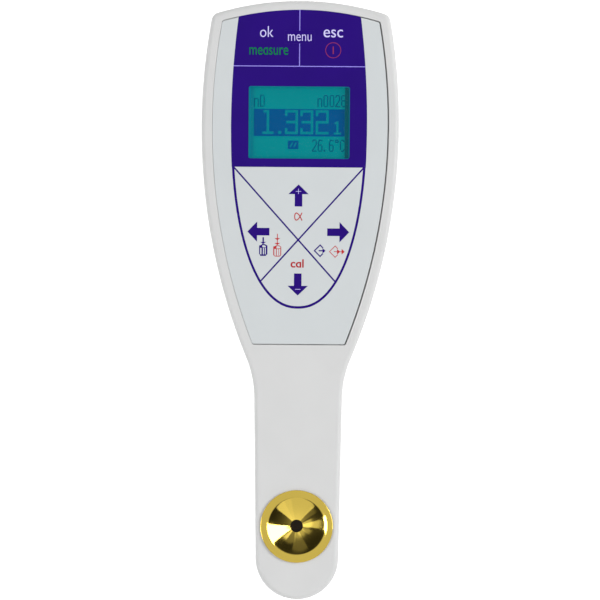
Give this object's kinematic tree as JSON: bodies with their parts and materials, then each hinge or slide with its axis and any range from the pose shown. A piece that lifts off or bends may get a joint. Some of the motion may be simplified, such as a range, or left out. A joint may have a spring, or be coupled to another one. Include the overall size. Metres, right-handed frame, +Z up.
{
  "type": "portable refractometer",
  "caption": "Handheld meter with a wide display head, a recessed key film with pressable keys, a slim tail with a cone-shaped sample dish, and a sliding battery door.",
  "frame": {"origin": "on the flat back, under the middle of the bounding box", "axes": "+Z up through the keys when the meter lies on its back, +Y towards the head's end, +X to the right of the keys"},
  "size_m": [0.0824, 0.25, 0.028],
  "materials": {
    "housing": "fine moulded texture, satin light grey",
    "film": "printed polyester film, light grey, satin",
    "purple_key": "printed polyester film, deep violet, satin",
    "window": "clear window of the film",
    "display": "teal liquid crystal display",
    "diffuser": "white light guide",
    "black_plastic": "black moulded plastic",
    "sheet": "amber polyester sheet",
    "rubber": "dark silicone rubber",
    "board": "green circuit board lacquer",
    "steel": "stainless and nickel plated steel",
    "gold": "polished, gold coloured metal",
    "cell": "plain wrapped dry cell",
    "optical_glass": "polished optical glass",
    "ribbon": "amber flexible circuit"
  },
  "bodies": {
    "housing": {"front_housing": "housing", "rear_housing": "housing", "overlay_film": "film", "display_window": "window", "display_glass": "display", "display_backlight": "diffuser", "ribbon_connector": "diffuser", "display_bezel": "black_plastic", "battery_tray": "black_plastic", "optics_block": "black_plastic", "processor_chip": "black_plastic", "buzzer": "black_plastic", "image_sensor": "black_plastic", "keypad_spacer": "sheet", "keypad_circuit": "sheet", "housing_seal": "rubber", "dish_seal": "rubber", "prism_seal": "rubber", "main_board": "board", "sensor_board": "board", "dish_retainer": "steel", "battery_contact_1": "steel", "battery_contact_2": "steel", "battery_bridge": "steel", "temperature_sensor": "steel", "snap_dome_ok": "steel", "snap_dome_esc": "steel", "snap_dome_up": "steel", "snap_dome_down": "steel", "snap_dome_left": "steel", "snap_dome_right": "steel", "housing_screw_1": "steel", "housing_screw_2": "steel", "housing_screw_3": "steel", "housing_screw_4": "steel", "housing_screw_5": "steel", "housing_screw_6": "steel", "housing_screw_7": "steel", "board_screw_1": "steel", "board_screw_2": "steel", "board_screw_3": "steel", "board_screw_4": "steel", "optics_screw_1": "steel", "optics_screw_2": "steel", "sample_dish": "gold", "battery_cell_1": "cell", "battery_cell_2": "cell", "prism": "optical_glass", "collimating_lens": "optical_glass", "light_source": "optical_glass", "sensor_ribbon": "ribbon"},
    "key_ok": {"key_ok": "purple_key"},
    "key_esc": {"key_esc": "purple_key"},
    "key_up": {"key_up": "film"},
    "key_down": {"key_down": "film"},
    "key_left": {"key_left": "film"},
    "key_right": {"key_right": "film"},
    "battery_door": {"battery_door": "housing"}
  },
  "joints": [
    {"name": "key_ok_press", "type": "slide", "parent": "housing", "child": "key_ok", "axis": [0, 0, -1], "range_m": [0, 0.0004], "stiffness_N_per_m": 2500, "springref_m": -0.0004},
    {"name": "key_esc_press", "type": "slide", "parent": "housing", "child": "key_esc", "axis": [0, 0, -1], "range_m": [0, 0.0004], "stiffness_N_per_m": 2500, "springref_m": -0.0004},
    {"name": "key_up_press", "type": "slide", "parent": "housing", "child": "key_up", "axis": [0, 0, -1], "range_m": [0, 0.0004], "stiffness_N_per_m": 2500, "springref_m": -0.0004},
    {"name": "key_down_press", "type": "slide", "parent": "housing", "child": "key_down", "axis": [0, 0, -1], "range_m": [0, 0.0004], "stiffness_N_per_m": 2500, "springref_m": -0.0004},
    {"name": "key_left_press", "type": "slide", "parent": "housing", "child": "key_left", "axis": [0, 0, -1], "range_m": [0, 0.0004], "stiffness_N_per_m": 2500, "springref_m": -0.0004},
    {"name": "key_right_press", "type": "slide", "parent": "housing", "child": "key_right", "axis": [0, 0, -1], "range_m": [0, 0.0004], "stiffness_N_per_m": 2500, "springref_m": -0.0004},
    {"name": "battery_door_slide", "type": "slide", "parent": "housing", "child": "battery_door", "axis": [0, 1, 0], "range_m": [0, 0.068]}
  ]
}
